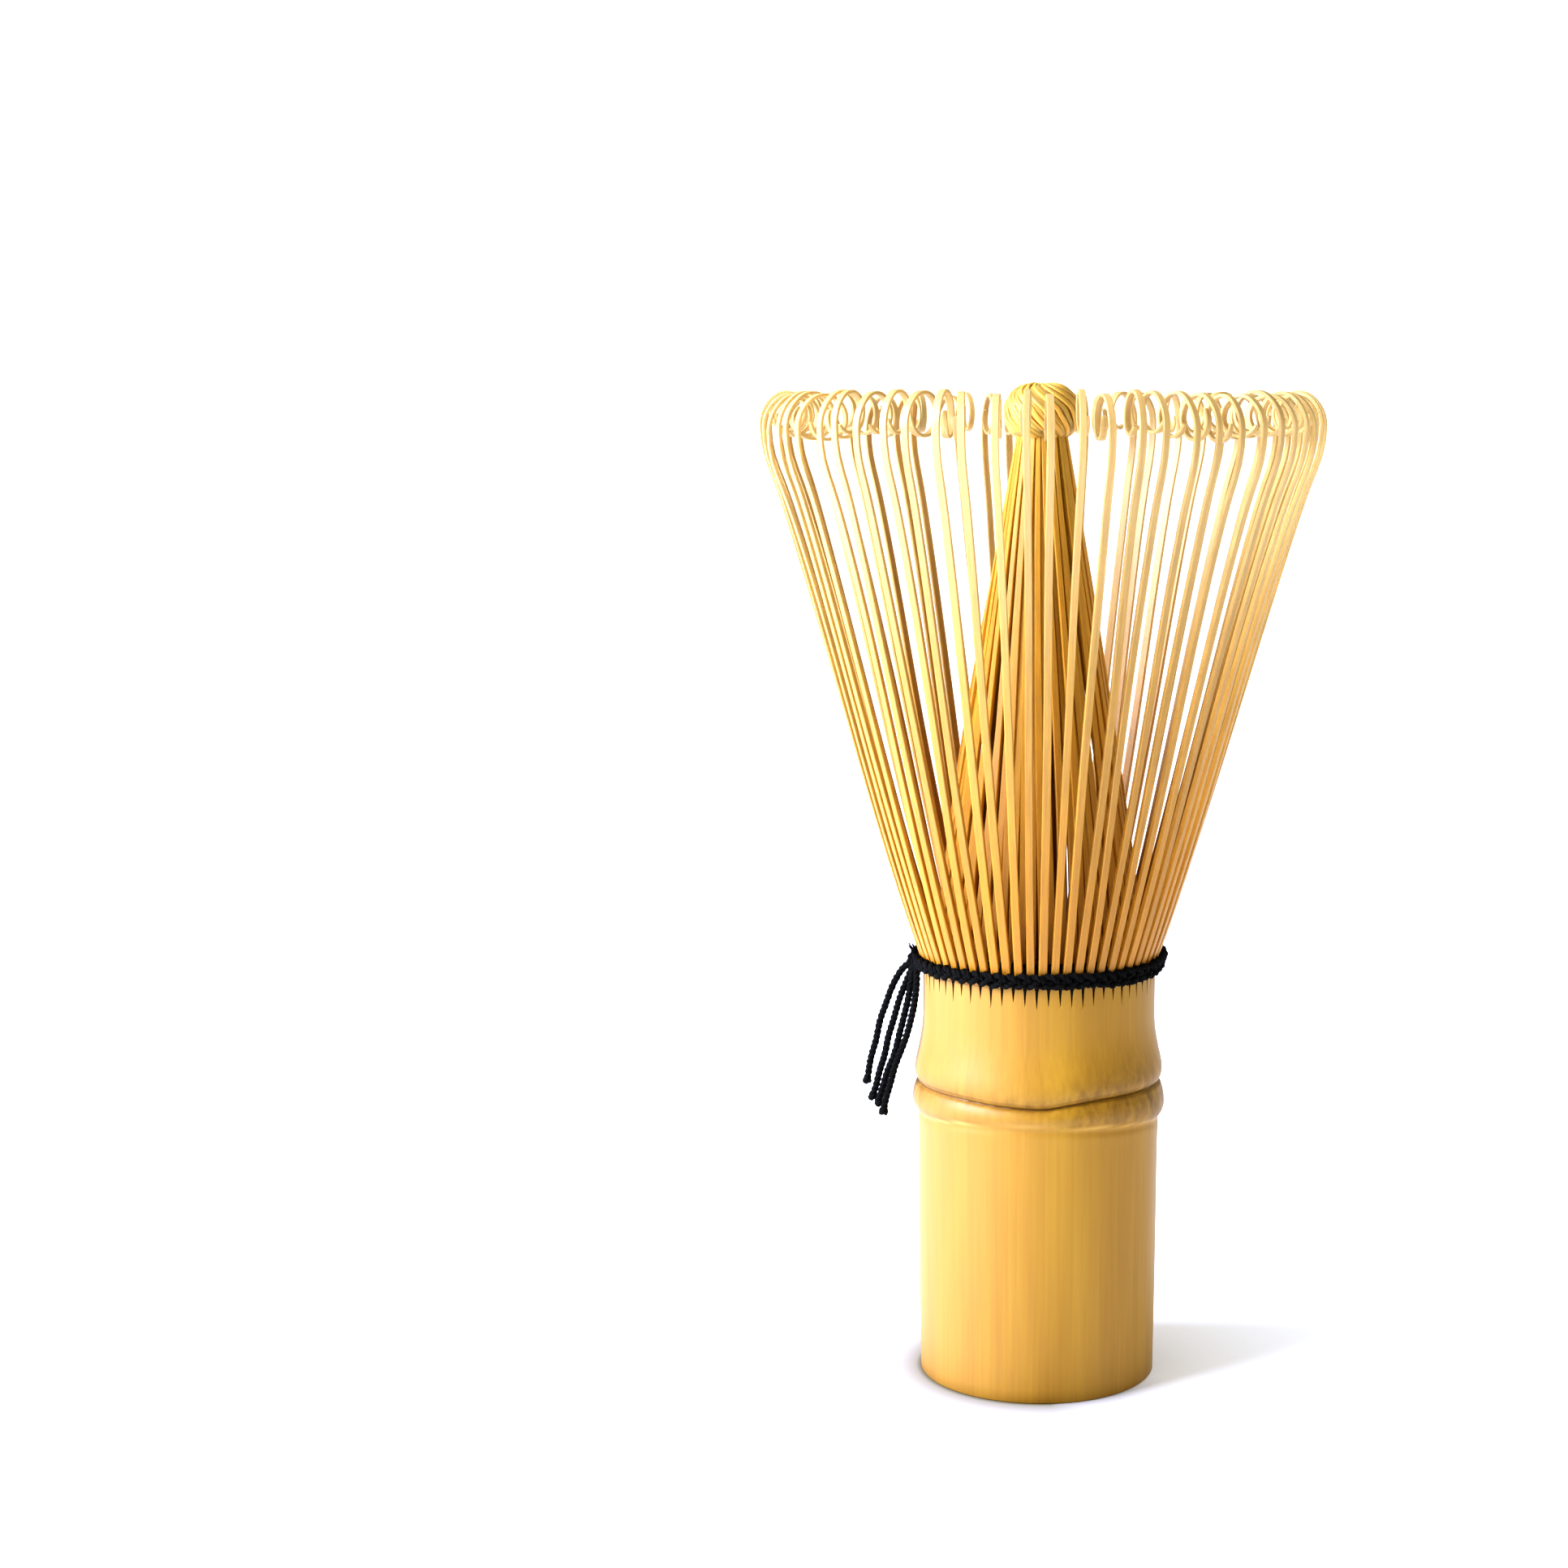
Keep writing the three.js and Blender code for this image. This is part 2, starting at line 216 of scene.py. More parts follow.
# Outer tines: widths and thicknesses by height
OUTER_WIDTHS = [(46, 1.0), (50, 0.92), (62, 0.88), (85, 0.82), (100, 0.8), (106, 0.78), (115, 0.72)]
OUTER_THICKNESSES = [(46, 0.74), (50, 0.66), (62, 0.54), (85, 0.48), (100, 0.42), (106, 0.38), (115, 0.34)]
ROOT_BEND = 48.4  # height where the tines start to lean
STEM_TOP = 98.0
STEM_TOP_RADIUS = 28.3
STEM_SLOPES = (0.365, 0.33)
# The curl from the top of the stem, as turn in degrees (inwards is positive) and radius of bend
CURL_ARCS = [(-4.2, 62), (22.5, 12.6), (50, 4.2), (60, 2.35), (70, 2.35), (90, 2.2), (90, 1.9), (70, 1.5)]
CURL_SWEEPS = (300, 428)  # turn past upright where the tips end
CURL_STEP = 9  # degrees
STEM_STEPS = 26

# Inner tines
INNER_ROOT_RADIUS = 11.75
INNER_ROOT_HEIGHT = 46.6
INNER_SLOPES = (-0.065, -0.175)
INNER_TIP_RADII = (2.6, 2.3)
INNER_WIDTHS = [(46, 0.9), (52, 0.86), (75, 0.82), (95, 0.66), (110, 0.52)]
INNER_THICKNESSES = [(46, 0.8), (52, 0.6), (80, 0.45), (110, 0.36)]
INNER_STEPS = 30
INNER_TWIST = math.radians(-9)  # turn of the whole bundle, from its root to the crown

# How far across its strip each corner of a ring is, as shares of half its width
TINE_ACROSS = (1, 1.1, 0.9, -0.9, -1.1, -1, -0.8, 0.8)
CROWN_ACROSS = (1, 1, 0.8, -0.8, -1, -1, -0.8, 0.8)

# The thread
STRAND = 0.62  # thickness of the thread
TAIL_THICKNESS = 0.9  # the tails have loosened
PLAIT_THICKNESS = 0.8
PLAIT_WAVES = 21  # of each strand round the band
PLY_PITCH = 1.25  # length of one turn of its plies
# Routes of the tails from the knot: out from it, to the side, and up
TAIL_ROUTES = [
    [(-0.15, -1.3, -1.65), (1.2, -1.5, -4.2), (2.45, -1.6, -7.9), (3.3, -1.6, -11.7), (4.05, -1.7, -15.2)],
    [(-0.9, -0.4, -2.2), (0.25, -0.5, -5.3), (1.3, -0.6, -8.9), (2.1, -0.6, -12.5), (3.4, -0.7, -16.9)],
    [(-1.2, 0.6, -2.5), (-0.5, 0.5, -6.1), (0.5, 0.4, -10.3), (1.7, 0.4, -13.8), (2.75, 0.3, -17.4)],
    [(-1.75, 1.6, -2.7), (-1.3, 1.5, -6.2), (-0.35, 1.4, -9.6), (0.95, 1.4, -13.1), (2.15, 1.3, -18.2)],
]

# The knot's loops: tilt, half height, and how far out from its middle
KNOT_LOOPS = [(0.15, 0.75, -1.9), (-0.5, 0.7, -1.65), (1.0, 0.7, -2.0), (0.5, 0.6, -1.5), (1.3, 0.5, -1.75)]
# Strands that run from the knot into the tails and the band: side and height of their ends
KNOT_STRANDS = [(-1.6, -1.0), (-0.5, -1.4), (0.6, -1.6), (1.5, -1.3), (2.6, -0.6)]
STUB_FIBRES = 18
# A stitch between two tines, from its low end: radius, share of the way up, and rise over that
STITCH_PLACES = [(12.6, 0, 0), (13.15, 0, 0.2), (13.5, 0.5, 0), (13.75, 1, -0.4), (13.0, 1, 0.1)]
# Turns of thread behind the stitches
INNER_TURN_HEIGHTS = (47.0, 47.8, 48.6, 49.4, 50.2)
INNER_TURN_RADIUS = 12.4

# ---------------------------------------------------------------- camera

CAMERA_DISTANCE = 317.4
CAMERA_HEIGHT = 112.7
CAMERA_PITCH = math.radians(7.8)
CAMERA_YAW = math.radians(2.63)
CAMERA_LENS = 63.84
CAMERA_SHIFT = -0.0826


def set_camera():
    data = bpy.data.cameras.new("camera")
    data.lens = CAMERA_LENS
    data.sensor_width = 36
    data.shift_x = CAMERA_SHIFT
    data.clip_start = 0.01
    camera = bpy.data.objects.new("camera", data)
    camera.location = Vector((0, -CAMERA_DISTANCE, CAMERA_HEIGHT)) * MM
    camera.rotation_euler = (math.pi / 2 - CAMERA_PITCH, 0, CAMERA_YAW)
    bpy.context.scene.collection.objects.link(camera)
    bpy.context.scene.camera = camera


set_camera()

# ---------------------------------------------------------------- shaping helpers


def mix(a, b, share):
    return a + (b - a) * share


def smooth(low, high, value):
    """0 below low and 1 above high, with an even rise between."""
    share = min(1, max(0, (value - low) / (high - low)))
    return share * share * (3 - 2 * share)


def bell(value, width):
    return math.exp(-((value / width) ** 2))


def along_table(table, at):
    """The value of a table of (place, value) pairs at a place, eased between its pairs."""
    for (low, first), (high, second) in zip(table, table[1:]):
        if at <= high:
            return mix(first, second, smooth(low, high, at))
    return table[-1][1]


def through_table(table, at):
    """The value of a table of (place, value) pairs, on one smooth curve through them."""
    places = [place for place, _ in table]
    values = [value for _, value in table]
    i = min(max(sum(place <= at for place in places) - 1, 0), len(table) - 2)
    slopes = []
    for k in (i, i + 1):
        before, after = max(k - 1, 0), min(k + 1, len(table) - 1)
        slopes.append((values[after] - values[before]) / (places[after] - places[before]))
    span = places[i + 1] - places[i]
    share = min(1, max(0, (at - places[i]) / span))
    return hermite(values[i], values[i + 1], slopes[0] * span, slopes[1] * span, share)


def hermite(start, end, start_slope, end_slope, share):
    """A cubic from start to end with a slope at each end."""
    two, three = share**2, share**3
    return (
        (2 * three - 3 * two + 1) * start
        + (three - 2 * two + share) * start_slope
        + (3 * two - 2 * three) * end
        + (three - two) * end_slope
    )


def curve_through(points, step):
    """Even steps along a smooth curve through given points."""
    ends = [points[0] * 2 - points[1], *points, points[-1] * 2 - points[-2]]
    fine = []
    for before, start, end, after in zip(ends, ends[1:], ends[2:], ends[3:]):
        for k in range(20):
            fine.append(hermite(start, end, (end - before) / 2, (after - start) / 2, k / 20))
    fine.append(points[-1].copy())
    length = sum((b - a).length for a, b in zip(fine, fine[1:]))
    count = max(2, round(length / step))
    places, walked, k = [fine[0]], 0.0, 0
    for i in range(1, count):
        target = length * i / count
        while walked + (fine[k + 1] - fine[k]).length < target:
            walked += (fine[k + 1] - fine[k]).length
            k += 1
        share = (target - walked) / (fine[k + 1] - fine[k]).length
        places.append(fine[k].lerp(fine[k + 1], share))
    places.append(fine[-1])
    return places


def polar(radius, angle, height):
    return Vector((radius * math.cos(angle), radius * math.sin(angle), height))


def directions(points, closed=False):
    """The way a line of points runs at each of them."""
    last = len(points) - 1
    ways = []
    for i in range(len(points)):
        before = points[i - 1] if i or closed else points[i]
        after = points[(i + 1) % len(points)] if i < last or closed else points[i]
        ways.append((after - before).normalized())
    return ways


def steady_facings(ways, closed):
    """A way across a line at each of its points, which doesn't spin round the line, and the
    turn that is left over where a closed line meets itself."""
    facing = ways[0].orthogonal().normalized()
    facings = []
    for way in ways:
        facing = (facing - way * facing.dot(way)).normalized()
        facings.append(facing)
    if not closed:
        return facings, 0.0
    back = (facings[-1] - ways[0] * facings[-1].dot(ways[0])).normalized()
    return facings, math.atan2(back.cross(facings[0]).dot(ways[0]), back.dot(facings[0]))


class Work:
    """Points, faces and marks of one piece while it is shaped. A mark is a number at each point
    that the piece's finish reads, such as how far along a tine the point is."""

    def __init__(self, *marks):
        self.points = []
        self.faces = []
        self.skins = []
        self.marks = {mark: [] for mark in marks}

    def add_rings(self, rings, closed=False, skin=0, **marks):
        """Joins rings of points into a tube. Its ends are shut, unless it closes on itself.
        A mark is one number, or a list with a number or a list of numbers for each ring.
        skin is which of the piece's finishes the tube has."""
        first = len(self.points)
        count = len(rings[0])
        for ring in rings:
            self.points.extend(ring)
        for name, values in self.marks.items():
            given = marks.get(name, 0.0)
            for i in range(len(rings)):
                value = given[i] if isinstance(given, list) else given
                values.extend(value if isinstance(value, list) else [value] * count)
        steps = len(rings) if closed else len(rings) - 1
        for i in range(steps):
            low = first + i * count
            high = first + (i + 1) % len(rings) * count
            for k in range(count):
                j = (k + 1) % count
                self.faces.append((low + k, low + j, high + j, high + k))
        if not closed:
            self.faces.append(tuple(range(first + count - 1, first - 1, -1)))
            top = first + (len(rings) - 1) * count
            self.faces.append(tuple(range(top, top + count)))
        self.skins += [skin] * (len(self.faces) - len(self.skins))

    def piece(self, name, finishes, slot, sharp=50):
        """Makes the mesh object, smooth but for edges sharper than an angle in degrees."""
        mesh = bpy.data.meshes.new(name)
        mesh.from_pydata([point * MM for point in self.points], [], self.faces)
        for mark, values in self.marks.items():
            mesh.attributes.new(mark, "FLOAT", "POINT").data.foreach_set("value", values)
        mesh.polygons.foreach_set("use_smooth", [True] * len(mesh.polygons))
        mesh.set_sharp_from_angle(angle=math.radians(sharp))
        for finish in finishes:
            mesh.materials.append(finish)
        mesh.polygons.foreach_set("material_index", self.skins)
        made = bpy.data.objects.new(name, mesh)
        bpy.context.scene.collection.objects.link(made)
        return made


def ribbon_rings(points, facings, widths, thicknesses, rounding):
    """Rings of a split strip of bamboo: a rectangle with its edges taken off."""
    rings = []
    for point, way, facing, width, thickness in zip(
        points, directions(points), facings, widths, thicknesses
    ):
        side = way.cross(facing).normalized()
        face = side.cross(way)
        w, t = width / 2, thickness / 2
        inset = rounding * min(w, t)
        corners = [
            (w, inset - t),
            (w, t - inset),
            (w - inset, t),
            (inset - w, t),
            (-w, t - inset),
            (-w, inset - t),
            (inset - w, -t),
            (w - inset, -t),
        ]
        rings.append([point + side * x + face * y for x, y in corners])
    return rings


def across_strip(widths, shares):
    """How far across its strip each point of its rings is, which places its fibres."""
    return [[width / 2 * share for share in shares] for width in widths]


def cord_rings(points, radius, sides, closed=False):
    """Rings of a round cord along a line of points. radius is one number or a list."""
    ways = directions(points, closed)
    facings, slip = steady_facings(ways, closed)
    rings = []
    for i, (point, way, facing) in enumerate(zip(points, ways, facings)):
        size = radius[i] if isinstance(radius, list) else radius
        turned = Matrix.Rotation(slip * i / len(points), 3, way) @ facing
        other = way.cross(turned)
        ring = []
        for k in range(sides):
            turn = FULL_TURN * k / sides
            ring.append(point + (turned * math.cos(turn) + other * math.sin(turn)) * size)
        rings.append(ring)
    return rings


def ply_lines(points, offset, pitch, plies, closed=False, start=0.0):
    """Centre lines of the plies that twist round a line of points."""
    ways = directions(points, closed)
    steps = [(points[(i + 1) % len(points)] - points[i]).length for i in range(len(points))]
    length = sum(steps) if closed else sum(steps[:-1])
    turns = length / pitch
    if closed:
        turns = round(turns)
    facings, slip = steady_facings(ways, closed)
    lines = []
    for ply in range(plies):
        walked = 0.0
        line = []
        for i, (point, way, facing) in enumerate(zip(points, ways, facings)):
            turn = start + FULL_TURN * (ply / plies + turns * walked / length) + slip * walked / length
            line.append(point + (Matrix.Rotation(turn, 3, way) @ facing) * offset)
            walked += steps[i]
        lines.append(line)
    return lines


def add_thread(work, points, thickness, closed=False, start=0.0, taper=None):
    """A cotton thread of two plies, twisted, along a line of points."""
    ply = thickness * 0.32
    for line in ply_lines(points, thickness * 0.17, PLY_PITCH, 2, closed, start):
        radius = ply if taper is None else [ply * share for share in taper]
        work.add_rings(cord_rings(line, radius, 6, closed), closed, tone=random.random())


# ---------------------------------------------------------------- finishes


def hex_colour(code):
    """An sRGB hex colour as the linear values that shaders use."""
    channels = [int(code[i : i + 2], 16) / 255 for i in (1, 3, 5)]
    linear = [c / 12.92 if c <= 0.04045 else ((c + 0.055) / 1.055) ** 2.4 for c in channels]
    return (*linear, 1.0)


def add(tree, kind, inputs=None, stops=None, **settings):
    """Adds a shader node to a finish. inputs are values or other nodes' sockets, by socket name
    or number, stops are a ramp's (place, hex colour) pairs, and settings are its properties."""
    made = tree.nodes.new("ShaderNode" + kind)
    for name, value in settings.items():
        setattr(made, name, value)
    for name, value in (inputs or {}).items():
        if isinstance(value, bpy.types.NodeSocket):
            tree.links.new(value, made.inputs[name])
        else:
            made.inputs[name].default_value = value
    if stops:
        elements = made.color_ramp.elements
        while len(elements) < len(stops):
            elements.new(1)
        for element, (place, code) in zip(elements, stops):
            element.position = place
            element.color = hex_colour(code)
    return made


def new_finish(name):
    material = bpy.data.materials.new(name)
    material.use_nodes = True
    material.node_tree.nodes.clear()
    return material, material.node_tree


def culm_skin():
    """Bamboo culm skin, boiled and oiled. It is a smooth warm yellow with a satin gloss, faint streaks of
    fibre up the culm, brown mottling over the node and a dark groove. Painted light is mixed in: the skin is
    painted paler on its left, where the key light falls, with a painted highlight along the ridge's foot and
    near-black painted shade in the slits."""
    material, tree = new_finish("oiled_bamboo_culm_skin")
    place = add(tree, "TexCoord").outputs["Object"]
    marks = {}
    for name in ("node_stain", "painted_foot_highlight", "groove_line", "slit", "pith"):
        marks[name] = add(tree, "Attribute", attribute_name=name).outputs["Fac"]
    # Fibre bundles 0.4 mm apart that run the length of the culm, broad shading bands 5 mm
    # across, and the stain's spots, which are about 1 mm across and drawn down the culm
    grains = []
    for stretch, detail, roughness in (
        ((2400, 2400, 45), 3.0, 0.5),
        ((200, 200, 22), 2.0, 0.5),
        ((900, 900, 420), 4.0, 0.65),
    ):
        spot = add(tree, "VectorMath", {0: place, 1: stretch}, operation="MULTIPLY").outputs[0]
        inputs = {"Vector": spot, "Scale": 1.0, "Detail": detail, "Roughness": roughness}
        grains.append(add(tree, "TexNoise", inputs).outputs[0])
    fibre, band, spots = grains
    both = add(tree, "Mix", {0: 0.35, 2: band, 3: fibre}, data_type="FLOAT").outputs[0]
    skin = add(
        tree, "ValToRGB", {0: both}, stops=[(0.3, "#926a12"), (0.5, "#9e7618"), (0.72, "#a98221")]
    ).outputs[0]
    # Painted light: the culm is painted paler on its left, where the key light falls
    rightward = add(tree, "SeparateXYZ", {0: place}).outputs[0]
    painted_lit_side = add(tree, "MapRange", {0: rightward, 1: -0.014, 2: 0.003, 3: 0.26, 4: 0.0}).outputs[0]
    # The node's stain is soft and uneven
    spots = add(tree, "MapRange", {0: spots, 1: 0.35, 2: 0.68, 3: 0.1, 4: 1.0}).outputs[0]
    stain = add(tree, "Math", {0: spots, 1: marks["node_stain"]}, operation="MULTIPLY").outputs[0]
    # Near-black painted shade in the slits and on the inner face of each stave's foot
    slit = add(
        tree, "MapRange", {0: marks["slit"], 1: 0.02, 2: 0.3}, interpolation_type="SMOOTHSTEP"
    ).outputs[0]
    for amount, code in (
        # painted light: paler on the left, where the key light falls
        (painted_lit_side, "#b28a63"),
        (stain, "#6f4f04"),
        # painted highlight along the ridge's foot
        (marks["painted_foot_highlight"], "#cfa75e"),
        (marks["groove_line"], "#4a2e0a"),
        # painted shade in the slits
        (slit, "#1a0f05"),
    ):
        skin = add(tree, "Mix", {0: amount, 6: skin, 7: hex_colour(code)}, data_type="RGBA").outputs[2]
    # Cut ends and the hollow show fibre bundles as dots 0.5 mm across
    dots = add(tree, "TexVoronoi", {"Vector": place, "Scale": 1900.0}).outputs["Distance"]
    end_grain = add(
        tree, "ValToRGB", {0: dots}, stops=[(0.12, "#8b6530"), (0.4, "#c9a163"), (1.0, "#d6b47a")]
    ).outputs[0]
    colour = add(tree, "Mix", {0: marks["pith"], 6: skin, 7: end_grain}, data_type="RGBA").outputs[2]

    relief = add(tree, "Bump", {"Strength": 0.25, "Distance": 0.00004, "Height": fibre})
    shader = add(
        tree,
        "BsdfPrincipled",
        {
            "Base Color": colour,
            "Roughness": 0.52,
            "IOR": 1.5,
            "Specular IOR Level": 0.45,
            "Coat Weight": 0.08,
            "Coat Roughness": 0.35,
            "Normal": relief.outputs[0],
        },
    )
    add(tree, "OutputMaterial", {"Surface": shader.outputs[0]})
    return material


def split_bamboo(name, stops, roughness):
    """Split and scraped bamboo. Fine fibres run along each strip, strips differ a little in
    tone, and the colour changes along their length as the stops say."""
    material, tree = new_finish(name)
    along, across, tone = [
        add(tree, "Attribute", attribute_name=name).outputs["Fac"]
        for name in ("along", "across", "tone")
    ]
    share = add(tree, "MapRange", {0: along, 1: 0.0, 2: 100.0}).outputs[0]
    base = add(tree, "ValToRGB", {0: share}, stops=stops).outputs[0]
    # Fibres 0.15 mm wide and 5 mm long, drawn coarser than real ones so that they show
    spot = add(tree, "CombineXYZ", {0: across, 1: along, 2: tone}).outputs[0]
    fibre_place = add(
        tree, "VectorMath", {0: spot, 1: (6.5, 0.2, 53.0)}, operation="MULTIPLY"
    ).outputs[0]
    fibre = add(tree, "TexNoise", {"Vector": fibre_place, "Scale": 1.0, "Detail": 3.0}).outputs[0]
    light = add(
        tree,
        "Math",
        {
            0: add(tree, "MapRange", {0: tone, 3: 0.9, 4: 1.08}).outputs[0],
            1: add(tree, "MapRange", {0: fibre, 1: 0.3, 2: 0.7, 3: 0.86, 4: 1.1}).outputs[0],
        },
        operation="MULTIPLY",
    ).outputs[0]
    colour = add(tree, "VectorMath", {0: base, "Scale": light}, operation="SCALE").outputs[0]
    relief = add(tree, "Bump", {"Strength": 0.3, "Distance": 0.00004, "Height": fibre})
    shader = add(
        tree,
        "BsdfPrincipled",
        {
            "Base Color": colour,
            "Roughness": roughness,
            "IOR": 1.5,
            "Subsurface Weight": 0.6,
            "Subsurface Radius": (1.0, 0.8, 0.5),
            "Subsurface Scale": 0.0009,
            "Normal": relief.outputs[0],
        },
    )
    add(tree, "OutputMaterial", {"Surface": shader.outputs[0]})
    return material


def cotton_thread():
    """Black dyed cotton thread of two plies. It is matt, with a faint grey bloom of fibre."""
    material, tree = new_finish("black_dyed_cotton_thread")
    place = add(tree, "TexCoord").outputs["Object"]
    # Lint 0.1 mm across
    lint = add(tree, "TexNoise", {"Vector": place, "Scale": 9000.0, "Detail": 2.0}).outputs[0]
    colour = add(tree, "ValToRGB", {0: lint}, stops=[(0.35, "#040403"), (0.75, "#11100c")]).outputs[0]
    relief = add(tree, "Bump", {"Strength": 0.5, "Distance": 0.00005, "Height": lint})
    shader = add(
        tree,
        "BsdfPrincipled",
        {
            "Base Color": colour,
            "Roughness": 0.85,
            "IOR": 1.5,
            "Specular IOR Level": 0.2,
            "Normal": relief.outputs[0],
        },
    )
    add(tree, "OutputMaterial", {"Surface": shader.outputs[0]})
    return material


def painted_floor():
    """Matt white paint on a floor with a painted glow that rises the farther it is. It is a clean white, with
    a painted contact shadow greying it where the whisk's base stands."""
    material, tree = new_finish("matt_white_floor")
    place = add(tree, "TexCoord").outputs["Object"]
    reach = add(tree, "VectorMath", {0: place}, operation="LENGTH").outputs["Value"]
    # The painted contact shadow is darkest right at the base. It shows in front of the base and on its left,
    # where the key light falls
    base = BASE_RADIUS * MM
    near = add(
        tree, "MapRange", {0: reach, 1: base, 2: base + PAINTED_SHADOW_REACH * MM, 3: 1.0, 4: 0.0}
    ).outputs[0]
    way = add(tree, "VectorMath", {0: place}, operation="NORMALIZE").outputs[0]
    turned = add(
        tree, "VectorMath", {0: way, 1: (-0.93, -0.36, 0)}, operation="DOT_PRODUCT"
    ).outputs["Value"]
    side = add(tree, "MapRange", {0: turned, 1: -0.8, 2: 0.25}).outputs[0]
    grey = add(tree, "Math", {0: near, 1: side}, operation="MULTIPLY").outputs[0]
    colour = add(
        tree,
        "ValToRGB",
        {0: grey},
        stops=[
            (0.0, "#f9f9f9"),
            (0.4, "#cac9c6"),
            (0.7, "#b4b2ad"),
            (0.92, "#9f9c92"),
            (1.0, "#78745f"),
        ],
    ).outputs[0]
    glow = add(tree, "MapRange", {0: reach, 1: 0.016, 2: 0.06, 3: 0.18, 4: 0.6}).outputs[0]
    clear = add(tree, "Math", {0: 1.0, 1: grey}, operation="SUBTRACT").outputs[0]
    glow = add(tree, "Math", {0: glow, 1: clear}, operation="MULTIPLY").outputs[0]
    shader = add(
        tree,
        "BsdfPrincipled",
        {
            "Base Color": colour,
            "Roughness": 1.0,
            "Specular IOR Level": 0.0,
            "Emission Color": hex_colour("#d2dcff"),
            "Emission Strength": glow,
        },
    )
    add(tree, "OutputMaterial", {"Surface": shader.outputs[0]})
    return material


CULM_SKIN = culm_skin()
OUTER_BAMBOO = split_bamboo(
    "scraped_bamboo_outer_tines",
    [
        (0.0, "#ac791c"),
        (0.15, "#ad7e22"),
        (0.38, "#b08c42"),
        (0.56, "#b99d62"),
        (0.7, "#c0a66e"),
        (1.0, "#c3aa72"),
    ],
    0.45,
)
INNER_BAMBOO = split_bamboo(
    "scraped_bamboo_inner_tines",
    [(0.0, "#b17c1a"), (0.3, "#b98720"), (0.6, "#bf902e"), (1.0, "#c59b42")],
    0.5,
)
CROWN_BAMBOO = split_bamboo(
    "twisted_bamboo_crown_tips",
    [(0.0, "#ce9a40"), (0.1, "#d6a64c"), (1.0, "#dcb05a")],
    0.5,
)
THREAD = cotton_thread()

# ---------------------------------------------------------------- the thread tails and knot

random.seed(11)
KNOT_ANGLE = math.atan2(KNOT_MIDDLE.y, KNOT_MIDDLE.x)
KNOT_TURN = Matrix.Rotation(KNOT_ANGLE, 3, "Z")


def from_knot(out, side, up):
    """A place given from the knot's middle, in the whisk's own frame."""
    return KNOT_MIDDLE + KNOT_TURN @ Vector((out, side, up))


def thread_piece(work, name, *nodes):
    made = work.piece(name, [THREAD], "thread")
    if nodes:
        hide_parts(*nodes)
    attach(made, "handle")
    return made


def tails():
    """Four cut ends of the thread, each with a tuft where its plies have opened."""
    for number, route in enumerate(TAIL_ROUTES, 1):
        work = Work("tone")
        places = [(-1.7, route[0][1] * 0.3, -0.2), *route]
        points = curve_through([from_knot(*place) for place in places], 0.13)
        seed = random.random() * 100
        for i, point in enumerate(points):
            share = i / len(points)
            shift = noise.noise_vector(Vector((seed, i * 0.05, 0))) * 0.22 * share
            points[i] = point + Vector((shift.x, shift.y, 0))
        last = len(points) - 1
        taper = [mix(1, 1.5, smooth(0.95, 0.99, i / last)) for i in range(last + 1)]
        add_thread(work, points, TAIL_THICKNESS, start=random.random() * 6, taper=taper)
        thread_piece(work, f"tail_{number}", f"thread_tail_{number}")


tails()

# ---------------------------------------------------------------- the culm

random.seed(5)
SLIT_TIPS = [
    FOOT_TOP - random.uniform(*(SLIT_LENGTHS if slit % TINES_PER_STAVE else STAVE_SLIT_LENGTHS))
    for slit in range(TINES)
]


def from_front(angle):
    """An angle round the whisk as degrees from its front, positive to the right."""
    turned = angle + math.pi / 2
    return math.degrees(math.atan2(math.sin(turned), math.cos(turned)))


def groove_height(angle):
    """The groove wanders up and down round the node, with a dip at the front."""
    return GROOVE_HEIGHT + through_table(GROOVE_RISES, from_front(angle))


def ridge_height(angle):
    return through_table(RIDGE_HEIGHTS, from_front(angle))


def second_line(angle):
    """How clear the second fine line over the groove is: it fades out towards the back."""
    front = from_front(angle)
    return max(bell(front + 62, 46), 0.6 * bell(front - 20, 60))


def culm_radius(angle, height):
    over = height - groove_height(angle)
    ridge = ridge_height(angle)
    stretched = max(over, -ridge) * (RIDGE_FOOT / ridge if over < 0 else 1) + min(0, over + ridge)
    place = mix(height - GROOVE_HEIGHT, stretched, bell(over, 9))
    radius = WAIST_RADIUS + through_table(SWELLS, place)
    radius -= GROOVE_DEPTH * bell(over, GROOVE_WIDTH)
    radius -= SECOND_LINE_DEPTH * bell(over - SECOND_LINE, SECOND_LINE_WIDTH) * second_line(angle)
    oval = OUT_OF_ROUND * math.cos(2 * angle + 1)
    radius += oval * smooth(0, 10, height) * (1 - smooth(38, 44, height))
    swirl = noise.noise(Vector((math.cos(angle) * 4, math.sin(angle) * 4, height * 0.06)))
    return radius + UNEVENNESS * swirl * (1 - smooth(42, 45, height))


def slit_share(slit, height):
    """How open a slit is at a height: 0 at its tip, 1 at the top of the foot."""
    tip = SLIT_TIPS[slit % TINES]
    return min(1.0, max(0.0, (height - tip) / (FOOT_TOP - tip)))


def wall_columns(tines, height):
    """(angle, how far in, how dark the painted shade is) of the points round the wall in front of some tines:
    the middle of the slit before each tine, and four points on the tine, two at its edges."""
    columns = []
    for tine in tines:
        for slit, at, edge in WALL_POINTS:
            share = slit_share(tine + slit, height)
            at += edge * mix(SLIT_TIP_WIDTH, SLIT_WIDTH, share) / 2 / TINE_PITCH
            in_slit = smooth(0, 0.25, share) if abs(at) == 0.5 else 0.0
            columns.append((FIRST_TINE_ANGLE + (tine + at) * TINE_ANGLE, in_slit * SLIT_DEPTH, in_slit))
    return columns


